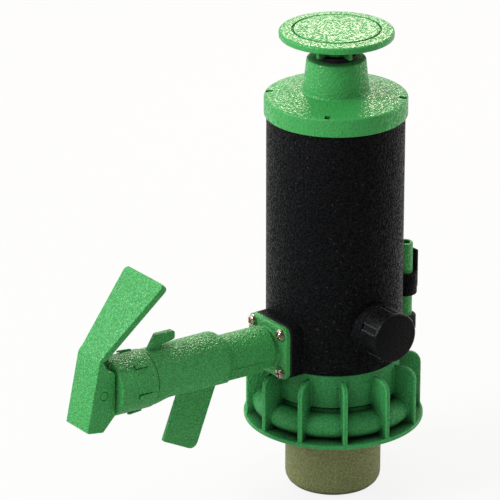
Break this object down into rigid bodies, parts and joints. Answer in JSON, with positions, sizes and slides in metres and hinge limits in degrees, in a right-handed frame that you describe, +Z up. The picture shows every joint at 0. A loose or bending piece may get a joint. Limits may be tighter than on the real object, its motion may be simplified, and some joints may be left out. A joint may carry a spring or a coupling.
{
  "type": "chemical transfer pump",
  "caption": "Hand plunger pump for a drum: round knob, black cylinder, ribbed drum collar with stub, side spout with a squeeze-lever tap, screw plug and vent tube.",
  "frame": {"origin": "on the pump's axis, at the mouth of the dip tube socket in the stub's lower face", "axes": "+Z up along the pump's axis; the spout points along -X, the plugged port along -Y and the vent tube stands at +X"},
  "size_m": [0.2714, 0.1236, 0.3165],
  "materials": {
    "green_plastic": "moulded, with a fine spark-eroded grain",
    "black_plastic": "moulded, with a fine grain",
    "khaki_plastic": "smooth moulded",
    "natural_plastic": "smooth moulded, undyed",
    "seal_rubber": "smooth",
    "spring_steel": "bright drawn stainless",
    "screw_steel": "bright stainless"
  },
  "bodies": {
    "pump_body": {"cylinder_body": "black_plastic", "top_cap": "green_plastic", "cap_seal_ring": "seal_rubber", "rod_guide_bush": "natural_plastic", "rod_wiper_seal": "seal_rubber", "bump_ring": "seal_rubber", "foot_valve_cage": "natural_plastic", "foot_valve_spring": "spring_steel", "inlet_adaptor": "khaki_plastic", "adaptor_seal_ring": "seal_rubber", "neck_gasket": "seal_rubber", "spout_barrel": "green_plastic", "spout_sleeve": "green_plastic", "flange_gasket": "seal_rubber", "flange_screws": "screw_steel", "flap_pin": "spring_steel", "tap_seat": "natural_plastic", "stem_guide": "natural_plastic", "tap_spring": "spring_steel", "vent_tube": "green_plastic", "vent_clip": "black_plastic"},
    "plunger": {"knob": "green_plastic", "plunger_rod": "spring_steel", "piston_head": "natural_plastic", "piston_rings": "seal_rubber", "piston_washer": "spring_steel", "piston_nut": "spring_steel"},
    "collar": {"collar": "green_plastic"},
    "foot_valve": {"foot_valve_disc": "natural_plastic", "foot_valve_seal": "seal_rubber"},
    "outlet_flap": {"outlet_flap": "seal_rubber"},
    "tap_stem": {"tap_stem": "spring_steel", "tap_disc": "natural_plastic", "tap_seal": "seal_rubber"},
    "tap_lever": {"tap_lever": "green_plastic", "lever_pin": "green_plastic"},
    "plug_gasket": {"plug_gasket": "seal_rubber"},
    "plug_cap": {"plug_cap": "black_plastic"}
  },
  "joints": [
    {"name": "plunger_slide", "type": "slide", "parent": "pump_body", "child": "plunger", "axis": [0, 0, 1], "range_m": [0, 0.1]},
    {"name": "collar_turn", "type": "hinge", "parent": "pump_body", "child": "collar", "pos_m": [0, 0, 0.07], "axis": [0, 0, 1], "continuous": true},
    {"name": "foot_valve_lift", "type": "slide", "parent": "pump_body", "child": "foot_valve", "axis": [0, 0, 1], "range_m": [0, 0.005], "stiffness_N_per_m": 60, "springref_m": -0.002, "deforming": ["foot_valve_spring"]},
    {"name": "flap_swing", "type": "hinge", "parent": "pump_body", "child": "outlet_flap", "pos_m": [-0.0514, 0, 0.1219], "axis": [0, 1, 0], "range_deg": [0, 25], "stiffness_Nm_per_rad": 0.0002, "springref_deg": -8.59},
    {"name": "stem_slide", "type": "slide", "parent": "pump_body", "child": "tap_stem", "axis": [-0.999, 0, 0.0436], "range_m": [0, 0.0068], "deforming": ["tap_spring"]},
    {"name": "lever_swing", "type": "hinge", "parent": "tap_stem", "child": "tap_lever", "pos_m": [-0.19007, 0, 0.11592], "axis": [0, 1, 0], "range_deg": [0, 30], "stiffness_Nm_per_rad": 0.4, "springref_deg": -11.46},
    {"name": "plug_travel", "type": "slide", "parent": "pump_body", "child": "plug_gasket", "axis": [0, -1, 0], "range_m": [0, 0.0135]},
    {"name": "plug_turn", "type": "hinge", "parent": "plug_gasket", "child": "plug_cap", "pos_m": [0, -0.055, 0.124], "axis": [0, -1, 0], "range_deg": [0, 1620]}
  ],
  "couplings": [
    {"joint": "lever_swing", "follows": "stem_slide", "rad_per_m": 76.923},
    {"joint": "plug_turn", "follows": "plug_travel", "rad_per_m": 2094.4}
  ]
}
